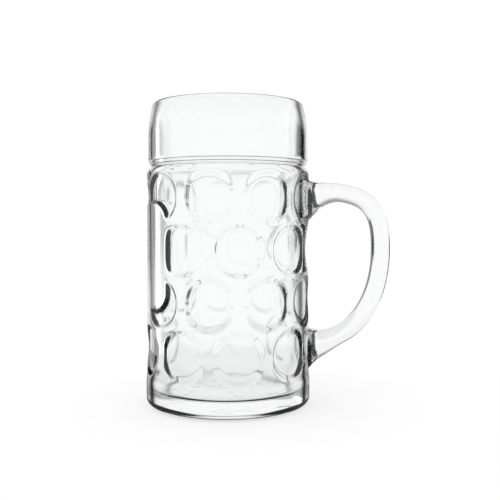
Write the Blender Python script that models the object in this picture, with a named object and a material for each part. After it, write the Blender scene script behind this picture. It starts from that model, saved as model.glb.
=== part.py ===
# Dimpled glass shot mug: a pressed beaker and the handle that is fused to it.
# Metres, +Z up. The beaker's axis is Z, its underside lies on Z = 0 and the handle stands along +X.
from math import acos, cos, degrees, hypot, pi, radians, sin, sqrt

import bmesh
import bpy
from mathutils import Vector

# Beaker, outside
MUG_HEIGHT = 0.0720  # underside to rim
WALL_RADIUS = 0.0196  # dimpled wall, over its ridges
BASE_FLARE = 0.0002  # how far the collar at the base stands out from the wall
BASE_EDGE_ROUND = 0.0018  # at the underside
COLLAR_HEIGHT = 0.0075  # smooth glass below the lowest dimples
COLLAR_STEP_HEIGHT = 0.0020  # where the collar draws in to the dimpled wall
SHOULDER_ROUND = 0.0024  # top of the dimpled wall
GROOVE_DEPTH = 0.0007  # below the wall's ridges
GROOVE_HEIGHT = 0.0007  # from its root to the edge of the band
BAND_HEIGHT = 0.0151  # rim to the root of the groove
BAND_INSET = 0.00035  # how far the band stands back from the wall
BAND_STRAIGHT = 0.0050  # upright part of the band, below its inward curve
RIM_DRAW_IN = 0.00105  # from the band in to the rim

# Beaker, inside
WALL_THICKNESS = 0.0028  # from the wall's ridges to the mouth
INSIDE_TAPER = 0.0004  # how much narrower the inside is at the floor than at the mouth
FLOOR_THICKNESS = 0.0034
FLOOR_CORNER = 0.0015  # round between the inside wall and the floor

# Dimples
DIMPLE_RADIUS = 0.00615
DIMPLE_DEPTH = 0.00115
RIDGE_WIDTH = 0.0012  # least glass left between two dimples

# Plain field opposite the handle, measured along the wall
FIELD_HALF_WIDTH = 0.0157
FIELD_BOTTOM = 0.0240
FIELD_TOP = 0.0475
FIELD_CORNER = 0.0040

# Handle and its two bosses on the beaker
BOSS_LENGTH = 0.0019  # from the wall's ridges to the face of the boss
BOSS_SPREAD = 0.0010  # how much wider than the foot a boss is where it meets the wall
BOSS_SAG = 0.0026  # how much lower it reaches there
BOSS_ROOT = 1 / 3  # where a boss starts, as a share of the glass behind the dimples
JOIN_GAP = 0.0003  # between a boss and a foot
UPPER_FOOT_ABOVE_ROW = 0.0019  # middle of the upper foot over the middle of the top row
LOWER_FOOT_ABOVE_ROW = 0.0017  # the same for the lower foot over the lowest row
HANDLE_THICKNESS = 0.0045  # in the handle's plane
HANDLE_WIDTH = 0.0064  # across it
HANDLE_REACH = 0.0173  # from the wall's ridges out to the middle of the grip
GRIP_DROP = 0.392  # upper foot to the grip's furthest point, as a share of the way to the lower foot
UPPER_LEAD = 0.874  # level pull of the curve at the upper foot, as a share of the bail's depth
GRIP_RISE = 0.693  # upright pull above the furthest point, as a share of the drop to it
GRIP_FALL = 0.552  # upright pull below it, as a share of the drop to the lower foot
LOWER_LEAD = 0.629  # level pull at the lower foot
FOOT_LENGTH = 0.0062  # over which each foot flares
FOOT_SAG = 0.0028  # how much lower than the bail the foot reaches at its face
FOOT_SPREAD = 0.0010  # and how much wider it is on each side

# Facets
TURN_STEPS = 72
ROUND_STEPS = 3
BAND_STEPS = 4
DIMPLE_SPOKES = 16
DIMPLE_RINGS = 3
FIELD_STEPS = 24
BAIL_STEPS = 18  # rings in each half of the bail
SECTION_STEPS = 16
SHARP_ANGLE = 35  # degrees

# Cutters run past the surfaces they cut
OVERSHOOT = 0.0020
RIM_OF_PUNCH = 1.04  # a punch is this much wider than its dimple

GLASS_COLOR = (0.93, 0.95, 0.95, 1.0)
GLASS_ROUGHNESS = 0.03
GLASS_IOR = 1.52


def dimple_pattern():
    """Azimuth and height of each dimple, and each row's height. Every second row turns by half a pitch."""
    around = int(2 * pi * WALL_RADIUS / (2 * DIMPLE_RADIUS + RIDGE_WIDTH))
    pitch = 2 * pi * WALL_RADIUS / around
    row_pitch = pitch * sqrt(3) / 2
    lowest = COLLAR_HEIGHT + DIMPLE_RADIUS
    highest = groove_z() - GROOVE_HEIGHT - DIMPLE_RADIUS
    rows = 1 + max(0, int((highest - lowest) / row_pitch))
    heights = [lowest + row * row_pitch for row in range(rows)]
    dimples = []
    for row, height in enumerate(heights):
        for column in range(around):
            dimples.append((2 * pi * (column + row % 2 / 2) / around, height))
    return dimples, heights


def groove_z():
    return MUG_HEIGHT - BAND_HEIGHT


def mouth_radius():
    return WALL_RADIUS - WALL_THICKNESS


def boss_face_x():
    return WALL_RADIUS + BOSS_LENGTH


def handed(azimuth):
    """The same azimuth between -pi and pi, counted from the handle."""
    return (azimuth + pi) % (2 * pi) - pi


def on_field(azimuth, height):
    """True for a dimple inside the plain field's width that has its middle within the field's height."""
    off_middle = WALL_RADIUS * (pi - abs(handed(azimuth)))
    within_width = off_middle + DIMPLE_RADIUS <= FIELD_HALF_WIDTH
    return within_width and FIELD_BOTTOM <= height <= FIELD_TOP


def under_boss(azimuth, height, feet):
    """True for a dimple whose middle a boss would cover."""
    across = WALL_RADIUS * handed(azimuth)
    return any(hypot(across, height - foot) < DIMPLE_RADIUS for foot in feet)


def around_axis(radius, azimuth, height):
    return Vector((radius * cos(azimuth), radius * sin(azimuth), height))


def arc(center, radius, start, end):
    """Points of an arc in the profile's plane, radius and height, with the angles in degrees."""
    angles = [radians(start + (end - start) * k / ROUND_STEPS) for k in range(ROUND_STEPS + 1)]
    return [(center[0] + radius * cos(a), center[1] + radius * sin(a)) for a in angles]


def beaker_profile():
    """Radius and height, from the middle of the underside up the outside and over the lip to the floor."""
    base_radius = WALL_RADIUS + BASE_FLARE
    edge_middle = (base_radius - BASE_EDGE_ROUND, BASE_EDGE_ROUND)
    points = [(0, 0)]
    points += arc(edge_middle, BASE_EDGE_ROUND, -90, 0)
    points.append((base_radius, COLLAR_HEIGHT - COLLAR_STEP_HEIGHT))
    points.append((WALL_RADIUS, COLLAR_HEIGHT))

    # The shoulder is an arc that starts upright on the wall and ends at the groove.
    groove = groove_z()
    turn = acos(1 - min(GROOVE_DEPTH / SHOULDER_ROUND, 1))
    shoulder_foot = groove - GROOVE_HEIGHT - SHOULDER_ROUND * sin(turn)
    points += arc((WALL_RADIUS - SHOULDER_ROUND, shoulder_foot), SHOULDER_ROUND, 0, degrees(turn))
    points.append((WALL_RADIUS - GROOVE_DEPTH, groove))

    # The band stands upright and then leans in to the rim, more and more towards the top.
    band_radius = WALL_RADIUS - BAND_INSET
    lip_round = (band_radius - RIM_DRAW_IN - mouth_radius()) / 2
    band_foot = groove + GROOVE_HEIGHT
    points.append((band_radius, band_foot))
    curve_foot = band_foot + BAND_STRAIGHT
    curve_top = MUG_HEIGHT - lip_round
    for k in range(BAND_STEPS + 1):
        share = k / BAND_STEPS
        height = curve_foot + (curve_top - curve_foot) * share
        points.append((band_radius - RIM_DRAW_IN * share ** 2, height))
    lip_middle = (mouth_radius() + lip_round, curve_top)
    points += arc(lip_middle, lip_round, 0, 90)[1:]
    points += arc(lip_middle, lip_round, 90, 180)[1:]

    floor_middle = (mouth_radius() - INSIDE_TAPER - FLOOR_CORNER, FLOOR_THICKNESS + FLOOR_CORNER)
    points += arc(floor_middle, FLOOR_CORNER, 0, -90)
    points.append((0, FLOOR_THICKNESS))
    return points


def skin(bm, rings):
    """Bridges each ring of vertices to the next with quads."""
    for ring, following in zip(rings, rings[1:]):
        for k in range(len(ring)):
            after = (k + 1) % len(ring)
            bm.faces.new((ring[k], ring[after], following[after], following[k]))


def fan(bm, ring, middle):
    for k, vertex in enumerate(ring):
        bm.faces.new((vertex, ring[(k + 1) % len(ring)], middle))


def new_object(name, bm, root=None):
    bmesh.ops.recalc_face_normals(bm, faces=bm.faces)
    mesh = bpy.data.meshes.new(name)
    bm.to_mesh(mesh)
    bm.free()
    obj = bpy.data.objects.new(name, mesh)
    bpy.context.scene.collection.objects.link(obj)
    obj.parent = root
    return obj


def make_tool(obj):
    """Turns an object into one that only shapes others."""
    obj.hide_render = True
    obj.display_type = "WIRE"
    return obj


def shape_with(obj, tool, operation):
    modifier = obj.modifiers.new(operation.lower() + "_" + tool.name, "BOOLEAN")
    modifier.operation = operation
    modifier.object = tool
    modifier.solver = "EXACT"


def turned_beaker(root):
    profile = beaker_profile()
    azimuths = [2 * pi * k / TURN_STEPS for k in range(TURN_STEPS)]
    bm = bmesh.new()
    rings = [[bm.verts.new(around_axis(r, a, z)) for a in azimuths] for r, z in profile[1:-1]]
    skin(bm, rings)
    fan(bm, rings[0], bm.verts.new((0, 0, profile[0][1])))
    fan(bm, rings[-1], bm.verts.new((0, 0, profile[-1][1])))
    return new_object("mug_body", bm, root)


def add_punch(bm, azimuth, height):
    """A round punch on the wall. Its nose is a shallow bowl that meets the wall at the dimple's radius."""
    def point(out, spoke, radius):
        turn = 2 * pi * spoke / DIMPLE_SPOKES
        return around_axis(radius, azimuth + out * cos(turn) / WALL_RADIUS, height + out * sin(turn))

    spokes = range(DIMPLE_SPOKES)
    outs = [DIMPLE_RADIUS * k / DIMPLE_RINGS for k in range(1, DIMPLE_RINGS)]
    outs.append(DIMPLE_RADIUS * RIM_OF_PUNCH)
    rings = []
    for out in outs:
        radius = WALL_RADIUS - DIMPLE_DEPTH * (1 - (out / DIMPLE_RADIUS) ** 2)
        rings.append([bm.verts.new(point(out, k, radius)) for k in spokes])
    back = WALL_RADIUS + OVERSHOOT
    rings.append([bm.verts.new(point(outs[-1], k, back)) for k in spokes])
    skin(bm, rings)
    fan(bm, rings[0], bm.verts.new(point(0, 0, WALL_RADIUS - DIMPLE_DEPTH)))
    fan(bm, rings[-1], bm.verts.new(point(0, 0, back)))


def field_guard():
    """A curved block over the plain field, taken off the punches so that they stop at its edge."""
    middle = (FIELD_BOTTOM + FIELD_TOP) / 2
    half_height = (FIELD_TOP - FIELD_BOTTOM) / 2
    straight = FIELD_HALF_WIDTH - FIELD_CORNER
    near = WALL_RADIUS - DIMPLE_DEPTH - OVERSHOOT
    far = WALL_RADIUS + 2 * OVERSHOOT
    bm = bmesh.new()
    rings = []
    for k in range(FIELD_STEPS + 1):
        along = FIELD_HALF_WIDTH * sin(pi * (k / FIELD_STEPS - 0.5))
        past = max(0.0, abs(along) - straight)
        reach = half_height - FIELD_CORNER + sqrt(max(0.0, FIELD_CORNER ** 2 - past ** 2))
        azimuth = pi + along / WALL_RADIUS
        corners = [(near, -reach), (far, -reach), (far, reach), (near, reach)]
        rings.append([bm.verts.new(around_axis(r, azimuth, middle + z)) for r, z in corners])
    skin(bm, rings)
    bm.faces.new(rings[0])
    bm.faces.new(rings[-1])
    return make_tool(new_object("field_guard", bm))


def dimple_punches(dimples, feet):
    bm = bmesh.new()
    for azimuth, height in dimples:
        if not on_field(azimuth, height) and not under_boss(azimuth, height, feet):
            add_punch(bm, azimuth, height)
    punches = make_tool(new_object("dimple_punches", bm))
    shape_with(punches, field_guard(), "DIFFERENCE")
    return punches


def oval(spread, above, below):
    """The bail's section as offsets across and up: an oval that can be wider, and taller above or below."""
    half_width = HANDLE_WIDTH / 2 + spread
    half_thickness = HANDLE_THICKNESS / 2
    turns = [2 * pi * k / SECTION_STEPS for k in range(SECTION_STEPS)]
    heights = [half_thickness + (above if sin(t) > 0 else below) for t in turns]
    return [(half_width * cos(t), height * sin(t)) for t, height in zip(turns, heights)]


def handle_bosses(feet):
    """Two short bosses that start inside the glass of the wall, behind the dimples, and end at the feet."""
    root_x = mouth_radius() + BOSS_ROOT * (WALL_THICKNESS - DIMPLE_DEPTH)
    bm = bmesh.new()
    for foot in feet:
        rings = []
        for k in range(ROUND_STEPS + 1):
            grown = (k / ROUND_STEPS) ** 2
            outline = oval(FOOT_SPREAD + BOSS_SPREAD * grown, 0, FOOT_SAG + BOSS_SAG * grown)
            x = boss_face_x() - BOSS_LENGTH * k / ROUND_STEPS
            rings.append([bm.verts.new((x, y, foot + z)) for y, z in outline])
        rings.append([bm.verts.new((root_x, v.co.y, v.co.z)) for v in rings[-1]])
        skin(bm, rings)
        bm.faces.new(rings[0])
        bm.faces.new(rings[-1])
    return make_tool(new_object("handle_bosses", bm))


def bezier(points, share):
    """Place and direction on a cubic curve through the first and last of four points."""
    a, b, c, d = points
    rest = 1 - share
    place = a * rest ** 3 + b * (3 * rest ** 2 * share) + c * (3 * rest * share ** 2) + d * share ** 3
    direction = (b - a) * rest ** 2 + (c - b) * (2 * rest * share) + (d - c) * share ** 2
    return place, direction.normalized()


def bail_path(feet):
    """Places and directions along the bail's middle line, from the upper foot's face to the lower one's."""
    lower, upper = feet
    start = Vector((boss_face_x() + JOIN_GAP, 0, upper))
    end = Vector((boss_face_x() + JOIN_GAP, 0, lower))
    grip = Vector((WALL_RADIUS + HANDLE_REACH, 0, upper + (lower - upper) * GRIP_DROP))
    out = Vector((grip.x - start.x, 0, 0))
    rise = Vector((0, 0, start.z - grip.z))
    fall = Vector((0, 0, grip.z - end.z))
    upper_half = (start, start + out * UPPER_LEAD, grip + rise * GRIP_RISE, grip)
    lower_half = (grip, grip - fall * GRIP_FALL, end + out * LOWER_LEAD, end)
    shares = [k / BAIL_STEPS for k in range(BAIL_STEPS + 1)]
    return [bezier(upper_half, s) for s in shares] + [bezier(lower_half, s) for s in shares[1:]]


def bail(feet, root):
    """The oval carried along the bail's path. Each foot flares downwards, which is the inside of the upper
    bend and the outside of the lower one."""
    face_x = boss_face_x() + JOIN_GAP
    across = Vector((0, 1, 0))
    bm = bmesh.new()
    rings = []
    for index, (place, direction) in enumerate(bail_path(feet)):
        outwards = direction.cross(across)
        flare = max(0.0, 1 - (place.x - face_x) / FOOT_LENGTH) ** 2
        sag = FOOT_SAG * flare
        inner_sag, outer_sag = (sag, 0) if index <= BAIL_STEPS else (0, sag)
        outline = oval(FOOT_SPREAD * flare, outer_sag, inner_sag)
        rings.append([bm.verts.new(place + across * y + outwards * z) for y, z in outline])
    skin(bm, rings)
    bm.faces.new(rings[0])
    bm.faces.new(rings[-1])
    return new_object("handle", bm, root)


def finish(obj, material):
    obj.data.materials.append(material)
    obj.data.shade_smooth()
    obj.data.set_sharp_from_angle(angle=radians(SHARP_ANGLE))


def glass(name):
    material = bpy.data.materials.new(name)
    material.use_nodes = True
    shader = material.node_tree.nodes["Principled BSDF"]
    shader.inputs["Base Color"].default_value = GLASS_COLOR
    shader.inputs["Roughness"].default_value = GLASS_ROUGHNESS
    shader.inputs["Metallic"].default_value = 0.0
    shader.inputs["IOR"].default_value = GLASS_IOR
    shader.inputs["Transmission Weight"].default_value = 1.0
    return material


def main():
    for obj in list(bpy.data.objects):
        bpy.data.objects.remove(obj, do_unlink=True)
    root = bpy.data.objects.new("shot_mug", None)
    bpy.context.scene.collection.objects.link(root)

    dimples, heights = dimple_pattern()
    feet = (heights[0] + LOWER_FOOT_ABOVE_ROW, heights[-1] + UPPER_FOOT_ABOVE_ROW)
    body = turned_beaker(root)
    shape_with(body, dimple_punches(dimples, feet), "DIFFERENCE")
    shape_with(body, handle_bosses(feet), "UNION")
    finish(body, glass("body_glass"))
    finish(bail(feet, root), glass("handle_glass"))


main()
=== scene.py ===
import math

import bmesh
import bpy
import numpy as np
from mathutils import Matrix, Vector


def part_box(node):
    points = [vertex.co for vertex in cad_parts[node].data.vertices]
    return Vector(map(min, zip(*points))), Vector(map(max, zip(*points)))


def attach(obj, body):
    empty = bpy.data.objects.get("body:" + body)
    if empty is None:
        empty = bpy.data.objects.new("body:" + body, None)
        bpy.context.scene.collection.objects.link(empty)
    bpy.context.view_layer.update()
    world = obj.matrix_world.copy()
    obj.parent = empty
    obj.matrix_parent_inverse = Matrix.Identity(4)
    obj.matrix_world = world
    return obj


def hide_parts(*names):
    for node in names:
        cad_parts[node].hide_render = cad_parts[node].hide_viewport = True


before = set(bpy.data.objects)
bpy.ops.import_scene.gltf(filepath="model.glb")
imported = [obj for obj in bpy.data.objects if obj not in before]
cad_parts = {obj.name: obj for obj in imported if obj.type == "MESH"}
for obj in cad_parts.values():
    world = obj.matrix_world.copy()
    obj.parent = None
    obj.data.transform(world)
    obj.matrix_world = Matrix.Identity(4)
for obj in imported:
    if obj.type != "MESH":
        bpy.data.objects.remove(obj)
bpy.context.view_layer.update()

mm = 0.001  # the sizes below are in millimetres
mugBox = np.round(np.asarray(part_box("mug_body")) / mm, 3)
handleBox = np.round(np.asarray(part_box("handle")) / mm, 3)
sharpAngle = math.radians(55.0)  # edges that turn more than this stay sharp
onLevel = 0.02  # closer than this counts as lying on a level
print("frame loaded:", ", ".join(sorted(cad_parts)))


def smoothStep(x, low, high):
    # 0 below low, 1 above high, and t * t * (3 - 2 * t) between
    t = np.clip((x - low) / (high - low), 0.0, 1.0)
    return t * t * (3.0 - 2.0 * t)


def linePoints(fromPoint, toPoint, count):
    # evenly spaced from one point to the other
    t = np.linspace(0.0, 1.0, count)[:, None]
    return np.asarray(fromPoint) * (1.0 - t) + np.asarray(toPoint) * t


def arcPoints(middleR, middleZ, radius, fromDeg, toDeg, count):
    # radius and height along an arc in the turning plane
    a = np.radians(np.linspace(fromDeg, toDeg, count))
    return np.column_stack((middleR + radius * np.cos(a), middleZ + radius * np.sin(a)))


def stepPoints(fromR, toR, fromZ, rise, count):
    # the radius eases over while the height climbs evenly, without the first point
    t = np.linspace(0.0, 1.0, count)[1:]
    return np.column_stack((fromR + (toR - fromR) * smoothStep(t, 0.0, 1.0), fromZ + rise * t))


def meshObject(name, points, quads, triangles):
    mesh = bpy.data.meshes.new(name)
    mesh.from_pydata((points * mm).tolist(), [], quads.tolist() + triangles.tolist())
    mesh.shade_smooth()
    mesh.validate()
    mesh.set_sharp_from_angle(angle=sharpAngle)
    obj = bpy.data.objects.new(name, mesh)
    bpy.context.scene.collection.objects.link(obj)
    return obj


def ringFaces(rings, around):
    # quads between each ring and the next, closed round
    i, j = np.meshgrid(np.arange(rings - 1), np.arange(around), indexing="ij")
    k = (j + 1) % around
    low, high = i * around, (i + 1) * around
    return np.stack((low + j, low + k, high + k, high + j), -1).reshape(-1, 4)


def closedSweep(name, rings, startPoint, endPoint):
    # rings of points carried along a path, closed at both ends by fans
    count, around = rings.shape[:2]
    j = np.arange(around)
    k = (j + 1) % around
    last = (count - 1) * around
    firstFan = np.stack((np.full(around, count * around), k, j), -1)
    lastFan = np.stack((np.full(around, count * around + 1), last + j, last + k), -1)
    points = np.vstack((rings.reshape(-1, 3), startPoint, endPoint))
    return meshObject(name, points, ringFaces(count, around), np.vstack((firstFan, lastFan)))


# plain field opposite the handle, sizes along the wall
field = {"halfWidth": 15.7, "bottom": 24.0, "top": 47.5, "corner": 4.0, "step": 1.6}


def fieldShare(angle, z):
    # 0 on the plain field, 1 off it: distance to a rectangle with round corners, eased over the step
    along = np.abs((angle - math.pi) * beaker["wallRadius"])
    up = np.abs(z - (field["bottom"] + field["top"]) / 2.0)
    pastX = along - (field["halfWidth"] - field["corner"])
    pastZ = up - ((field["top"] - field["bottom"]) / 2.0 - field["corner"])
    outside = np.hypot(np.maximum(pastX, 0.0), np.maximum(pastZ, 0.0))
    distance = outside + np.minimum(np.maximum(pastX, pastZ), 0.0) - field["corner"]
    return smoothStep(distance, 0.0, field["step"])


# round dishes pressed into the wall, in staggered rows
dimples = {
    "around": 9,
    "radius": 6.45,
    "bowl": 0.15,             # round hollow over the whole circle
    "dish": 0.64,             # step at the circle's edge
    "flank": 1.85,            # width of that step
    "edge": 0.03,             # fire polish on the edges
    "rowZ": (13.65, 25.50, 37.35, 49.20),
    "rowDip": 0.28,           # how far the ridges sag halfway up a row
    "leftOut": ((0, 0.0), (1, math.pi)),  # row and azimuth, under the lower boss and on the plain field
    "slopeReach": 0.05,       # to each side, where the slope is read
    "upShare": 0.45,          # in the painted shade, a slope up or down counts less than one to the side
    "slopeBelow": 1.0,        # slopes are read from this far under the collar's top
}


def dimpleDepth(angle, z):
    # a dimple is bowl * (1 - far ** 2) plus a dish that eases out over its flank, with far the distance from
    # its middle over its radius; the deepest counts, its edge rounded by a soft maximum
    d = dimples
    pitch = 2.0 * math.pi / d["around"]
    firstZ, lastZ = d["rowZ"][0], d["rowZ"][-1]
    rowPitch = d["rowZ"][1] - firstZ
    flank = d["flank"] / d["radius"]
    # the ridges sag with a cosine, most at the middle of a row
    inRows = smoothStep(z, beaker["collarTop"], firstZ) * (1.0 - smoothStep(z, lastZ, lastZ + rowPitch / 2.0))
    depth = d["rowDip"] * inRows * (1.0 + np.cos(2.0 * math.pi * (z - firstZ) / rowPitch)) / 2.0
    for row, rowZ in enumerate(d["rowZ"]):
        stagger = pitch * (row % 2) / 2.0
        nearest = np.round((angle - stagger) / pitch) * pitch
        away = (angle - stagger - nearest) * beaker["wallRadius"]
        far = np.minimum(np.hypot(away, z - rowZ) / d["radius"], 2.0)  # beyond 2 nothing changes
        hollow = d["bowl"] * (1.0 - far ** 2) + d["dish"] * (1.0 - smoothStep(far, 1.0 - flank, 1.0))
        middle = np.mod(nearest + stagger + 1e-6, 2.0 * math.pi)  # a full turn counts as none
        for leftRow, leftAngle in d["leftOut"]:
            if leftRow == row:
                hollow = np.where(np.abs(middle - leftAngle) < pitch / 4.0, -1.0, hollow)
        gap = hollow - depth
        depth = depth + (gap + np.sqrt(gap ** 2 + d["edge"] ** 2)) / 2.0
    return depth * fieldShare(angle, z)


def dimpleSlope(angle, z):
    # steepness of the dishes, from the depth a little to each side, for the painted shade
    reach = dimples["slopeReach"]
    turn = reach / beaker["wallRadius"]
    across = (dimpleDepth(angle + turn, z) - dimpleDepth(angle - turn, z)) / (2.0 * reach)
    up = (dimpleDepth(angle, z + reach) - dimpleDepth(angle, z - reach)) / (2.0 * reach)
    return np.hypot(across, dimples["upShare"] * up)


# the pressed beaker, from the underside up
beaker = {
    "height": mugBox[1, 2],
    "baseRadius": -mugBox[0, 0],
    "baseRound": 1.8,
    "hubRadius": 1.5,         # first ring round the middle of the underside and of the floor
    "footRing": 14.25,        # the foot stands on the underside outside this radius
    "edgeGap": 0.2,           # from the last ring of the underside to the round edge
    "collarTop": 7.5,         # smooth glass below the dimples
    "collarStep": 2.0,
    "wallRadius": 19.6,       # over the ridges between the dimples
    "wallSlack": 0.05,        # what stands out further belongs to a boss or to the collar
    "midWall": 17.3,          # a radius between the inside and the deepest dimple
    "shoulderRound": 2.4,
    "ledgeRadius": 18.95,     # above and below the groove
    "grooveRadius": 18.6,
    "grooveZ": (56.5, 57.2, 57.95),  # into the groove, out of it, out to the band
    "grooveStep": 0.25,
    "bandRadius": 19.25,
    "bandStraight": 5.0,
    "rimRadius": 18.2,
    "mouthRadius": 16.8,
    "floorRadius": 16.4,
    "floorZ": 3.4,
    "floorCorner": 1.5,
    "columns": 324,
    "wallRows": 158,
    "leanRows": 15,
}


def lipRadius(b):
    # half the thickness of the glass at the rim
    return (b["rimRadius"] - b["mouthRadius"]) / 2.0


def outsideProfile(b):
    # underside, round edge, collar, wall, shoulder, groove, and a band that leans in with its height squared
    base, wall, band = b["baseRadius"], b["wallRadius"], b["bandRadius"]
    flatEnd = base - b["baseRound"]
    stepFoot = b["collarTop"] - b["collarStep"]
    shoulderTurn = math.acos(1.0 - (wall - b["ledgeRadius"]) / b["shoulderRound"])
    shoulderFoot = b["grooveZ"][0] - b["shoulderRound"] * math.sin(shoulderTurn)
    bandFoot = b["grooveZ"][-1] + b["grooveStep"]
    leanFoot = bandFoot + b["bandStraight"]
    leanTop = b["height"] - lipRadius(b)
    radii = (b["ledgeRadius"], b["grooveRadius"], b["ledgeRadius"], band)
    t = np.linspace(0.0, 1.0, b["leanRows"])[1:]
    return np.vstack((
        linePoints((b["hubRadius"], 0.0), (b["footRing"], 0.0), count=6),
        linePoints((b["footRing"], 0.0), (flatEnd - b["edgeGap"], 0.0), count=6)[1:],
        arcPoints(flatEnd, b["baseRound"], b["baseRound"], -90, 0, count=11),
        linePoints((base, b["baseRound"]), (base, stepFoot), count=7)[1:],
        stepPoints(base, wall, stepFoot, b["collarStep"], count=7),
        linePoints((wall, b["collarTop"]), (wall, shoulderFoot), count=b["wallRows"])[1:],
        arcPoints(wall - b["shoulderRound"], shoulderFoot, b["shoulderRound"],
                  0, math.degrees(shoulderTurn), count=9)[1:],
        *(stepPoints(below, above, z, b["grooveStep"], count=6)
          for below, above, z in zip(radii, radii[1:], b["grooveZ"])),
        linePoints((band, bandFoot), (band, leanFoot), count=6)[1:],
        np.column_stack((band - (band - b["rimRadius"]) * t ** 2, leanFoot + (leanTop - leanFoot) * t))))


def insideProfile(b):
    # over the lip, down the tapered inside, round the corner and over the floor
    lip = lipRadius(b)
    lipZ = b["height"] - lip
    cornerTop = b["floorZ"] + b["floorCorner"]
    flatEnd = b["floorRadius"] - b["floorCorner"]
    return np.vstack((
        arcPoints(b["mouthRadius"] + lip, lipZ, lip, 0, 180, count=17)[1:],
        linePoints((b["mouthRadius"], lipZ), (b["floorRadius"], cornerTop), count=24)[1:],
        arcPoints(flatEnd, cornerTop, b["floorCorner"], 0, -90, count=17)[1:],
        linePoints((flatEnd, b["floorZ"]), (b["hubRadius"], b["floorZ"]), count=8)[1:]))


def makeBeaker():
    # both profiles turned round the axis, with the dimples' depth taken off the outer radius
    outside, inside = outsideProfile(beaker), insideProfile(beaker)
    angle = np.linspace(0.0, 2.0 * math.pi, beaker["columns"], endpoint=False)[None, :]
    outZ = outside[:, 1:2] + 0.0 * angle
    outR = outside[:, 0:1] - dimpleDepth(angle + 0.0 * outZ, outZ)
    r = np.vstack((outR, inside[:, 0:1] + 0.0 * angle))
    z = np.vstack((outZ, inside[:, 1:2] + 0.0 * angle))
    rings = np.stack((r * np.cos(angle), r * np.sin(angle), z), -1)
    return closedSweep("beaker", rings, (0.0, 0.0, 0.0), (0.0, 0.0, beaker["floorZ"]))


# the bail, a rounded box carried along two cubic curves
bail = {
    "startX": mugBox[1, 0],   # on the faces of the bosses
    "outX": handleBox[1, 0],
    "upperZ": 51.10,
    "lowerZ": 15.35,
    "gripZ": 37.09,           # where the bail reaches out furthest
    "upperLead": 13.2,        # pulls of the curves
    "gripRise": 9.7,
    "gripFall": 12.0,
    "lowerLead": 9.5,
    "halfThick": 2.25,
    "halfWide": 3.2,
    "square": 2.5,            # 2 is an ellipse, more is boxier
    "footLength": 6.2,
    "footSag": 2.8,           # each foot flares downwards by this
    "footSpread": 1.0,        # and to each side by this
    "innerPaintedShade": 0.24,       # painted shade on the side towards the beaker, counted as this steep
    "rings": 110,             # on each of the two curves
    "around": 72,
}


def roundedBox(turn, halfWide, above, below, square):
    # offsets across and up: cos and sin raised to 2 / square, with its own height above and below
    power = 2.0 / square
    across = np.sign(np.cos(turn)) * np.abs(np.cos(turn)) ** power * halfWide
    up = np.sign(np.sin(turn)) * np.abs(np.sin(turn)) ** power * np.where(np.sin(turn) > 0.0, above, below)
    return across, up


def cubic(a, b, c, d, t):
    # place and direction on a cubic curve with its two ends and two pulls
    t = t[:, None]
    s = 1.0 - t
    place = a * s ** 3 + 3.0 * b * s ** 2 * t + 3.0 * c * s * t ** 2 + d * t ** 3
    way = (b - a) * s ** 2 + 2.0 * (c - b) * s * t + (d - c) * t ** 2
    return place, way / np.linalg.norm(way, axis=1)[:, None]


def makeBail():
    # rings square to the curve; a foot grows with the square of how near its end is
    h = bail
    t = np.linspace(0.0, 1.0, h["rings"])
    start = np.array((h["startX"], h["upperZ"]))
    end = np.array((h["startX"], h["lowerZ"]))
    grip = np.array((h["outX"] - h["halfThick"], h["gripZ"]))
    upPlace, upWay = cubic(start, start + (h["upperLead"], 0), grip + (0, h["gripRise"]), grip, t)
    lowPlace, lowWay = cubic(grip, grip - (0, h["gripFall"]), end + (h["lowerLead"], 0), end, t)
    place = np.vstack((upPlace, lowPlace[1:]))
    way = np.vstack((upWay, lowWay[1:]))
    upper = (np.arange(len(place)) < h["rings"])[:, None]
    flare = np.maximum(0.0, 1.0 - (place[:, 0:1] - h["startX"]) / h["footLength"]) ** 2
    sag = h["footSag"] * flare
    turn = np.linspace(0.0, 2.0 * math.pi, h["around"], endpoint=False)[None, :]
    outward = h["halfThick"] + np.where(upper, 0.0, sag)
    inward = h["halfThick"] + np.where(upper, sag, 0.0)
    across, out = roundedBox(turn, h["halfWide"] + h["footSpread"] * flare, outward, inward, h["square"])
    normal = np.stack((-way[:, 1], way[:, 0]), -1)  # left of the way along, the outside of the bail
    x = place[:, 0:1] + normal[:, 0:1] * out
    z = place[:, 1:2] + normal[:, 1:2] * out
    rings = np.stack((x, across + 0.0 * x, z), -1)
    return closedSweep("bail", rings, (h["startX"], 0.0, h["upperZ"]), (h["startX"], 0.0, h["lowerZ"]))


# two bosses that carry the bail
boss = {
    "faceX": mugBox[1, 0],
    "rootX": 17.7,            # inside the glass of the wall
    "footZ": (15.35, 51.10),
    "growAbove": 2.0,         # higher at the root
    "seamGap": 0.004,         # points of the seam closer than this become one
    "halfReach": 8.0,         # nothing of a boss is further to the side
    "rootPaintedShade": 0.27,        # painted shade underneath, counted as this steep
    "rootDrop": 4.0,          # most so this far below the bail's middle
    "rootSpread": 1.8,
    "rootFade": 1.3,
    "rings": 26,
    "around": 72,
}


def makeBoss(name, footZ):
    # the flare of the bail's foot carried on into the wall, growing with the square of the way in
    b, h = boss, bail
    way = np.linspace(1.0, 0.0, b["rings"])[:, None]
    x = b["faceX"] + (b["rootX"] - b["faceX"]) * way
    flare = (1.0 + (h["startX"] - x) / h["footLength"]) ** 2
    turn = np.linspace(0.0, 2.0 * math.pi, b["around"], endpoint=False)[None, :]
    above = h["halfThick"] + b["growAbove"] * way ** 2
    below = h["halfThick"] + h["footSag"] * flare
    across, up = roundedBox(turn, h["halfWide"] + h["footSpread"] * flare, above, below, h["square"])
    rings = np.stack((x + 0.0 * turn, across, footZ + up), -1)
    return closedSweep(name, rings, (b["rootX"], 0.0, footZ), (b["faceX"], 0.0, footZ))


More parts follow.
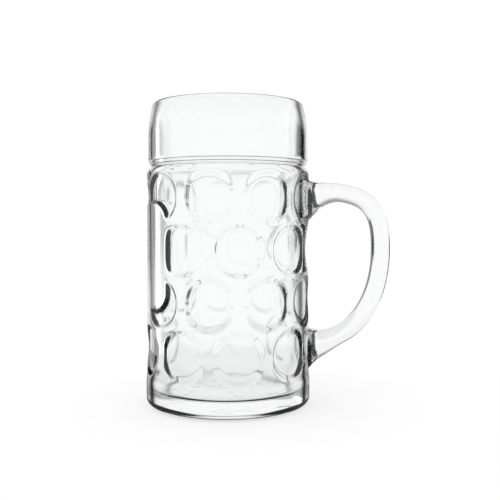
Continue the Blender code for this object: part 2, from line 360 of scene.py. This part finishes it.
def joinTo(base, extra):
    # one closed surface out of two
    union = base.modifiers.new("join", "BOOLEAN")
    union.operation = "UNION"
    union.object = extra
    union.solver = "EXACT"
    bpy.context.view_layer.update()
    joined = bpy.data.meshes.new_from_object(base.evaluated_get(bpy.context.evaluated_depsgraph_get()))
    base.modifiers.clear()
    base.data = joined
    bpy.data.objects.remove(extra)
    # no slivers where the two surfaces cross
    cleaned = bmesh.new()
    cleaned.from_mesh(joined)
    bmesh.ops.dissolve_degenerate(cleaned, dist=boss["seamGap"] * mm, edges=cleaned.edges)
    cleaned.to_mesh(joined)
    cleaned.free()
    joined.shade_smooth()
    joined.set_sharp_from_angle(angle=sharpAngle)


# painted shade on the foot's edge, counted like a steep slope
foot = {
    "from": 14.6,             # radius
    "paintedShadeSlope": 0.28,
    "paintedShadeEnd": (0.7, 1.9),   # heights over which it ends
    "heelFrom": 18.5,         # the heel is the outer part, with painted shade seen from outside only
    "heel": 0.5,
    "heelStart": (0.4, 1.0),
    "heelEnd": (1.3, 2.3),
}


def storeAttribute(obj, name, values):
    # one number or one vector for each point
    kind, socket = ("FLOAT", "value") if values.ndim == 1 else ("FLOAT_VECTOR", "vector")
    attribute = obj.data.attributes.new(name, kind, "POINT")
    attribute.data.foreach_set(socket, values.astype(np.float32).ravel())


def storeBeakerPaintedShade(obj):
    # how much painted shade each point gets in the glass, and the way out from the axis
    points = np.zeros(len(obj.data.vertices) * 3)
    obj.data.vertices.foreach_get("co", points)
    x, y, z = points.reshape(-1, 3).T / mm
    r = np.hypot(x, y)
    wallEnd = beaker["wallRadius"] + beaker["wallSlack"]
    collar, groove = beaker["collarTop"], beaker["grooveZ"][0]
    # the dishes have their own slope
    onWall = (r > beaker["midWall"]) & (r < wallEnd) & (z > collar - dimples["slopeBelow"]) & (z < groove)
    paintedShadeSlope = np.where(onWall, dimpleSlope(np.mod(np.arctan2(y, x), 2.0 * math.pi), z), 0.0)
    # painted shade on the foot up to its round edge, counted as steep
    paintedShadeSlope += np.where(r > foot["from"], foot["paintedShadeSlope"] * (1.0 - smoothStep(z, *foot["paintedShadeEnd"])), 0.0)
    # painted shade under the bosses, fading towards the bail
    onBoss = (r > wallEnd) & (x > 0.0) & (np.abs(y) < boss["halfReach"]) & (z > collar) & (z < groove)
    below = np.minimum(*(np.abs(z - footZ + boss["rootDrop"]) for footZ in boss["footZ"]))
    under = np.clip(boss["rootSpread"] - below / boss["rootDrop"], 0.0, 1.0)
    fade = np.clip((boss["faceX"] - x) / (boss["faceX"] - beaker["wallRadius"]), 0.0, 1.0)
    paintedShadeSlope += np.where(onBoss, boss["rootPaintedShade"] * fade ** boss["rootFade"] * under, 0.0)
    # painted shade on the heel, outside the heel radius
    heel = foot["heel"] * smoothStep(z, *foot["heelStart"]) * (1.0 - smoothStep(z, *foot["heelEnd"]))
    storeAttribute(obj, "paintedShadeSlope", paintedShadeSlope)
    storeAttribute(obj, "heel", np.where(r > foot["heelFrom"], heel, 0.0))
    storeAttribute(obj, "roundWay", np.column_stack((x, y, 0.0 * z)) / np.maximum(r, 0.001)[:, None])


def storeBailPaintedShade(obj):
    # painted shade on the side of the bail towards the beaker, counted as steep
    normals = np.zeros(len(obj.data.vertices) * 3)
    obj.data.vertices.foreach_get("normal", normals)
    normals = normals.reshape(-1, 3)
    storeAttribute(obj, "paintedShadeSlope", bail["innerPaintedShade"] * np.maximum(0.0, -normals[:, 0]))
    storeAttribute(obj, "roundWay", normals)


# clear glass, with painted shade in its colour where it is looked at along its surface and on steep edges
glassLook = {
    "color": (0.985, 0.99, 0.99, 1.0),
    "roughness": 0.0,
    "ior": 1.52,
    "paintedShadeColor": (0.001, 0.0011, 0.0011, 1.0),
    "edgeFrom": 0.51,         # 1 - cosine of the angle to the surface
    "edgeTo": 0.63,
    "rimFrom": 0.68,          # painted shade paler again towards the outline
    "rimTo": 0.8,
    "rimShade": 0.35,
    "steepFrom": 0.2,
    "steepTo": 0.33,
    "slopeShade": 0.25,       # how much a slope counts as steep, for painted shade
    "sideShade": 1.7,         # and more where the round wall itself turns away
    "wavesPerMetre": 90.0,    # left by the mould
    "waveHeight": 0.02,
}
insideLook = dict(glassLook, roughness=0.12)  # less sharp than the pressed side
footLook = dict(glassLook, wavesPerMetre=300.0, waveHeight=0.12)  # small ripples underneath
# a little greyer, as painted shade on the thick bail, and painted shade only at the very outline
bailLook = dict(
    glassLook, color=(0.955, 0.96, 0.96, 1.0), edgeFrom=0.98, edgeTo=0.99, rimFrom=0.995, rimTo=1.0)


def setSocket(tree, socket, value):
    # a number is set on the socket, an output is linked to it
    if isinstance(value, (int, float)):
        socket.default_value = value
    else:
        tree.links.new(value, socket)


def mathNode(tree, kind, *values):
    node = tree.nodes.new("ShaderNodeMath")
    node.operation = kind
    for socket, value in zip(node.inputs, values):
        setSocket(tree, socket, value)
    return node.outputs[0]


def easeNode(tree, value, low, high, before, after):
    # one level below low, another above high, and a smooth step between
    node = tree.nodes.new("ShaderNodeMapRange")
    node.interpolation_type = "SMOOTHSTEP"
    for name, number in zip(
            ("Value", "From Min", "From Max", "To Min", "To Max"), (value, low, high, before, after)):
        setSocket(tree, node.inputs[name], number)
    return node.outputs["Result"]


def attributeNode(tree, name):
    node = tree.nodes.new("ShaderNodeAttribute")
    node.attribute_name = name
    return node


def facingNode(tree):
    # 0 where a surface is seen square on, 1 where it is seen along itself
    node = tree.nodes.new("ShaderNodeLayerWeight")
    node.inputs["Blend"].default_value = 0.5
    return node


def alongShade(tree, look):
    # painted shade where glass is seen along its surface, paler again at the outline
    ramp = tree.nodes.new("ShaderNodeValToRGB")
    ramp.color_ramp.interpolation = "EASE"
    stops = ramp.color_ramp.elements
    for stop, level, position in ((stops[0], 0.0, "edgeFrom"), (stops[1], look["rimShade"], "rimTo")):
        stop.position = look[position]
        stop.color = (level, level, level, 1.0)
    for position in ("edgeTo", "rimFrom"):
        stops.new(look[position]).color = (1.0, 1.0, 1.0, 1.0)
    tree.links.new(facingNode(tree).outputs["Facing"], ramp.inputs["Fac"])
    return ramp.outputs["Color"]


def steepShade(tree, look):
    # painted shade on steep edges too, most where the round wall itself turns away, and on the heel only from
    # outside
    turned = facingNode(tree)
    tree.links.new(attributeNode(tree, "roundWay").outputs["Vector"], turned.inputs["Normal"])
    share = mathNode(tree, "MULTIPLY_ADD", turned.outputs["Facing"], look["sideShade"], look["slopeShade"])
    side = tree.nodes.new("ShaderNodeNewGeometry")
    outer = mathNode(tree, "SUBTRACT", 1.0, side.outputs["Backfacing"])
    heel = attributeNode(tree, "heel").outputs["Fac"]
    paintedShadeSlope = attributeNode(tree, "paintedShadeSlope").outputs["Fac"]
    steep = mathNode(tree, "MULTIPLY", mathNode(tree, "MULTIPLY_ADD", heel, outer, paintedShadeSlope), share)
    return easeNode(tree, steep, look["steepFrom"], look["steepTo"], 0.0, 1.0)


def mouldWaves(tree, look):
    # a faint waviness in the surface
    place = tree.nodes.new("ShaderNodeTexCoord")
    waves = tree.nodes.new("ShaderNodeTexNoise")
    waves.inputs["Scale"].default_value = look["wavesPerMetre"]
    waves.inputs["Detail"].default_value = 1.0
    bump = tree.nodes.new("ShaderNodeBump")
    bump.inputs["Strength"].default_value = 1.0
    bump.inputs["Distance"].default_value = look["waveHeight"] * mm
    tree.links.new(place.outputs["Object"], waves.inputs["Vector"])
    tree.links.new(waves.outputs["Fac"], bump.inputs["Height"])
    return bump.outputs["Normal"]


def makeGlass(name, look, withPaintedShade):
    material = bpy.data.materials.new(name)
    material.use_nodes = True
    tree = material.node_tree
    shader = tree.nodes["Principled BSDF"]
    shader.inputs["Transmission Weight"].default_value = 1.0
    shader.inputs["IOR"].default_value = look["ior"]
    shader.inputs["Roughness"].default_value = look["roughness"]
    shader.inputs["Base Color"].default_value = look["color"]
    # painted shade darkens the glass colour towards the dark shade colour
    if withPaintedShade:
        shade = mathNode(tree, "MAXIMUM", alongShade(tree, look), steepShade(tree, look))
        paintedShadeMix = tree.nodes.new("ShaderNodeMix")
        paintedShadeMix.data_type = "RGBA"
        paintedShadeMix.inputs["A"].default_value = look["color"]
        paintedShadeMix.inputs["B"].default_value = look["paintedShadeColor"]
        tree.links.new(shade, paintedShadeMix.inputs["Factor"])
        tree.links.new(paintedShadeMix.outputs["Result"], shader.inputs["Base Color"])
    tree.links.new(mouldWaves(tree, look), shader.inputs["Normal"])
    return material


def makeJoint(name):
    # bail and beaker are fused, so nothing bends or shines where they meet
    material = bpy.data.materials.new(name)
    material.use_nodes = True
    shader = material.node_tree.nodes["Principled BSDF"]
    shader.inputs["Base Color"].default_value = (1.0, 1.0, 1.0, 1.0)
    shader.inputs["Alpha"].default_value = 0.0
    return material


def faceMiddles(obj):
    middles = np.zeros(len(obj.data.polygons) * 3)
    obj.data.polygons.foreach_get("center", middles)
    return middles.reshape(-1, 3).T / mm


def setMaterials(obj, materials, slots):
    obj.data.materials.clear()
    for material in materials:
        obj.data.materials.append(material)
    obj.data.polygons.foreach_set("material_index", np.asarray(slots, np.int32))


def beakerSlots(obj):
    # 0 outside, 1 inside, 2 where the bail is fused on, 3 the corner of the floor, 4 the underside
    x, y, z = faceMiddles(obj)
    floorZ = beaker["floorZ"]
    onInside = (np.hypot(x, y) < beaker["midWall"]) & (z > floorZ / 2.0)
    onCorner = onInside & (z > floorZ + onLevel) & (z < floorZ + beaker["floorCorner"])
    onJoint = np.abs(x - boss["faceX"]) < onLevel
    return np.select((z < onLevel, onJoint, onCorner, onInside), (4, 2, 3, 1), 0)


beakerPiece = makeBeaker()
for bossName, bossZ in zip(("lowerBoss", "upperBoss"), boss["footZ"]):
    joinTo(beakerPiece, makeBoss(bossName, bossZ))
storeBeakerPaintedShade(beakerPiece)
beakerGlass = (
    makeGlass("pressedGlass", glassLook, True),
    makeGlass("insideGlass", insideLook, False),
    makeJoint("beakerJoint"),
    makeGlass("cornerGlass", glassLook, False),
    makeGlass("footGlass", footLook, True))
setMaterials(beakerPiece, beakerGlass, beakerSlots(beakerPiece))
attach(beakerPiece, "root")
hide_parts("mug_body")
print("beaker made:", len(beakerPiece.data.polygons), "faces")

bailPiece = makeBail()
storeBailPaintedShade(bailPiece)
bailGlass = (makeGlass("bailGlass", bailLook, True), makeJoint("bailJoint"))
setMaterials(bailPiece, bailGlass, np.abs(faceMiddles(bailPiece)[0] - bail["startX"]) < onLevel)
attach(bailPiece, "root")
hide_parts("handle")
print("bail made:", len(bailPiece.data.polygons), "faces")


# white ground and the studio round it, angles in degrees
studio = {
    "floorReach": 85.0,
    "floorDrop": 0.3,         # under the foot
    "floorRings": 24,
    "floorSpokes": 96,
    "floorColor": (0.985, 0.985, 0.985, 1.0),
    "floorLift": 0.7,         # how much of the floor glows, so that the shadow stays faint
    "floorThrough": 0.88,     # brightness of the floor as glass shows it
    "floorShine": 0.15,       # and as it is mirrored
    "fill": 1.06,             # light on the floor from all round
    "panelLevel": 1.0,        # the white panel that glass shows behind itself
    "panelLeft": -27.0,       # its sides, from straight back
    "leftEase": 5.0,
    "panelRight": 29.0,
    "rightEase": 3.0,
    "panelTop": 23.0,         # above level
    "topEase": 8.0,
    "topShade": 0.35,
    "flagShade": 0.02,        # dark from the panel's sides
    "flagEnd": 54.0,          # to here
    "endEase": 6.0,
    "flagTop": 10.0,          # above level, white again over it
    "flagTopEase": 4.0,
    "flagFoot": -4.0,         # and below this
    "flagFootEase": 3.0,
    "barAt": -52.0,           # a bright strip on the left
    "barHalf": 5.0,
    "barEase": 1.0,
    "barTop": 30.0,
    "barTopEase": 5.0,
    "barLevel": 2.0,
    "lampPlace": (-250.0, -150.0, 600.0),
    "lampAim": (0.0, 0.0, 30.0),
    "lampSize": 500.0,
    "lampPower": 0.35,
}


def makeFloorLook():
    # lit and shadowed to the camera, a plain level as glass and gloss show it
    material = bpy.data.materials.new("paleFloor")
    material.use_nodes = True
    tree = material.node_tree
    shader = tree.nodes["Principled BSDF"]
    shader.inputs["Base Color"].default_value = studio["floorColor"]
    shader.inputs["Roughness"].default_value = 1.0
    shader.inputs["Specular IOR Level"].default_value = 0.0
    path = tree.nodes.new("ShaderNodeLightPath")
    glossy, transmitted = path.outputs["Is Glossy Ray"], path.outputs["Is Transmission Ray"]
    level = tree.nodes.new("ShaderNodeMix")
    tree.links.new(transmitted, level.inputs["Factor"])
    tree.links.new(easeNode(tree, glossy, 0.0, 1.0, 1.0, studio["floorShine"]), level.inputs["A"])
    level.inputs["B"].default_value = studio["floorThrough"]
    glow = tree.nodes.new("ShaderNodeEmission")
    tree.links.new(level.outputs["Result"], glow.inputs["Strength"])
    share = mathNode(tree, "MAXIMUM", mathNode(tree, "MAXIMUM", glossy, transmitted), studio["floorLift"])
    mix = tree.nodes.new("ShaderNodeMixShader")
    tree.links.new(share, mix.inputs["Fac"])
    tree.links.new(shader.outputs[0], mix.inputs[1])
    tree.links.new(glow.outputs[0], mix.inputs[2])
    tree.links.new(mix.outputs[0], tree.nodes["Material Output"].inputs["Surface"])
    return material


def makeFloor():
    # a flat disc, rings by spokes
    rings, around = studio["floorRings"], studio["floorSpokes"]
    r = np.linspace(0.0, studio["floorReach"], rings + 1)[1:, None]
    a = np.linspace(0.0, 2.0 * math.pi, around, endpoint=False)[None, :]
    z = 0.0 * r * a - studio["floorDrop"]
    points = np.stack((r * np.cos(a), r * np.sin(a), z), -1).reshape(-1, 3)
    points = np.vstack((points, (0.0, 0.0, -studio["floorDrop"])))
    j = np.arange(around)
    fan = np.stack((np.full(around, rings * around), j, (j + 1) % around), -1)
    floor = meshObject("floor", points, ringFaces(rings, around)[:, ::-1], fan)
    floor.data.materials.append(makeFloorLook())


def makeWorld():
    # white to the camera; glass and gloss see a white panel behind, dark flags beside it and a bright strip;
    # everything else gets an even fill
    world = bpy.data.worlds.new("studio")
    bpy.context.scene.world = world
    world.use_nodes = True
    tree = world.node_tree
    s = studio

    def edge(value, at, ease, before, after):
        return easeNode(tree, value, math.radians(at - ease), math.radians(at + ease), before, after)

    way = tree.nodes.new("ShaderNodeTexCoord")
    axes = tree.nodes.new("ShaderNodeSeparateXYZ")
    tree.links.new(way.outputs["Generated"], axes.inputs[0])
    around = mathNode(tree, "ARCTAN2", axes.outputs["X"], axes.outputs["Y"])
    side = mathNode(tree, "ABSOLUTE", around)
    lift = mathNode(tree, "ARCSINE", axes.outputs["Z"])
    flag = mathNode(
        tree, "ADD", edge(around, s["panelLeft"], s["leftEase"], 1.0, 0.0),
        edge(around, s["panelRight"], s["rightEase"], 0.0, 1.0))
    for limit in (
            edge(side, s["flagEnd"], s["endEase"], 1.0, 0.0),
            edge(lift, s["flagTop"], s["flagTopEase"], 1.0, 0.0),
            edge(lift, s["flagFoot"], s["flagFootEase"], 0.0, 1.0)):
        flag = mathNode(tree, "MULTIPLY", flag, limit)
    seen = easeNode(tree, flag, 0.0, 1.0, s["panelLevel"], s["flagShade"])
    seen = mathNode(tree, "MULTIPLY", seen, edge(lift, s["panelTop"], s["topEase"], 1.0, s["topShade"]))
    offBar = mathNode(tree, "ABSOLUTE", mathNode(tree, "SUBTRACT", around, math.radians(s["barAt"])))
    bar = mathNode(
        tree, "MULTIPLY", edge(offBar, s["barHalf"], s["barEase"], s["barLevel"], 0.0),
        edge(lift, s["barTop"], s["barTopEase"], 1.0, 0.0))
    seen = mathNode(tree, "MAXIMUM", seen, bar)

    path = tree.nodes.new("ShaderNodeLightPath")
    byGlass = mathNode(tree, "MAXIMUM", path.outputs["Is Glossy Ray"], path.outputs["Is Transmission Ray"])
    fill = mathNode(tree, "MULTIPLY", mathNode(tree, "SUBTRACT", 1.0, byGlass), s["fill"])
    level = mathNode(tree, "ADD", mathNode(tree, "MULTIPLY", seen, byGlass), fill)
    level = mathNode(tree, "MAXIMUM", level, path.outputs["Is Camera Ray"])
    background = tree.nodes["Background"]
    background.inputs["Color"].default_value = (1.0, 1.0, 1.0, 1.0)
    tree.links.new(level, background.inputs["Strength"])


def makeLamp():
    light = bpy.data.lights.new("topLamp", "AREA")
    light.size = studio["lampSize"] * mm
    light.energy = studio["lampPower"]
    obj = bpy.data.objects.new("topLamp", light)
    bpy.context.scene.collection.objects.link(obj)
    place = np.array(studio["lampPlace"]) * mm
    away = place - np.array(studio["lampAim"]) * mm
    obj.location = place
    obj.rotation_euler = (
        math.acos(away[2] / np.linalg.norm(away)), 0.0, math.atan2(away[1], away[0]) + math.pi / 2.0)


# where the photograph was taken from
view = {
    "distance": 184.3,        # to the beaker's axis
    "height": 43.7,
    "azimuth": 2.8,           # degrees towards the handle's side
    "aimRight": 1.658,        # the axis stands left of the picture's middle
    "aimDown": 2.1,
    "lens": 54.57,
    "sensor": 36.0,
    "clip": (10.0, 20000.0),
}


def makeCamera():
    camera = bpy.data.cameras.new("camera")
    camera.lens = view["lens"]
    camera.sensor_width = view["sensor"]
    camera.clip_start, camera.clip_end = (distance * mm for distance in view["clip"])
    obj = bpy.data.objects.new("camera", camera)
    bpy.context.scene.collection.objects.link(obj)
    a = math.radians(view["azimuth"])
    obj.location = (
        view["distance"] * mm * math.sin(a), -view["distance"] * mm * math.cos(a), view["height"] * mm)
    obj.rotation_euler = (
        math.radians(90.0 - view["aimDown"]), 0.0, math.radians(view["azimuth"] - view["aimRight"]))
    bpy.context.scene.camera = obj


makeFloor()
makeWorld()
makeLamp()
makeCamera()
bpy.context.scene.view_settings.view_transform = "Standard"
# light runs on far inside thick glass
bpy.context.scene.cycles.max_bounces = 32
bpy.context.scene.cycles.glossy_bounces = 24
bpy.context.scene.cycles.transmission_bounces = 32
print("studio made")
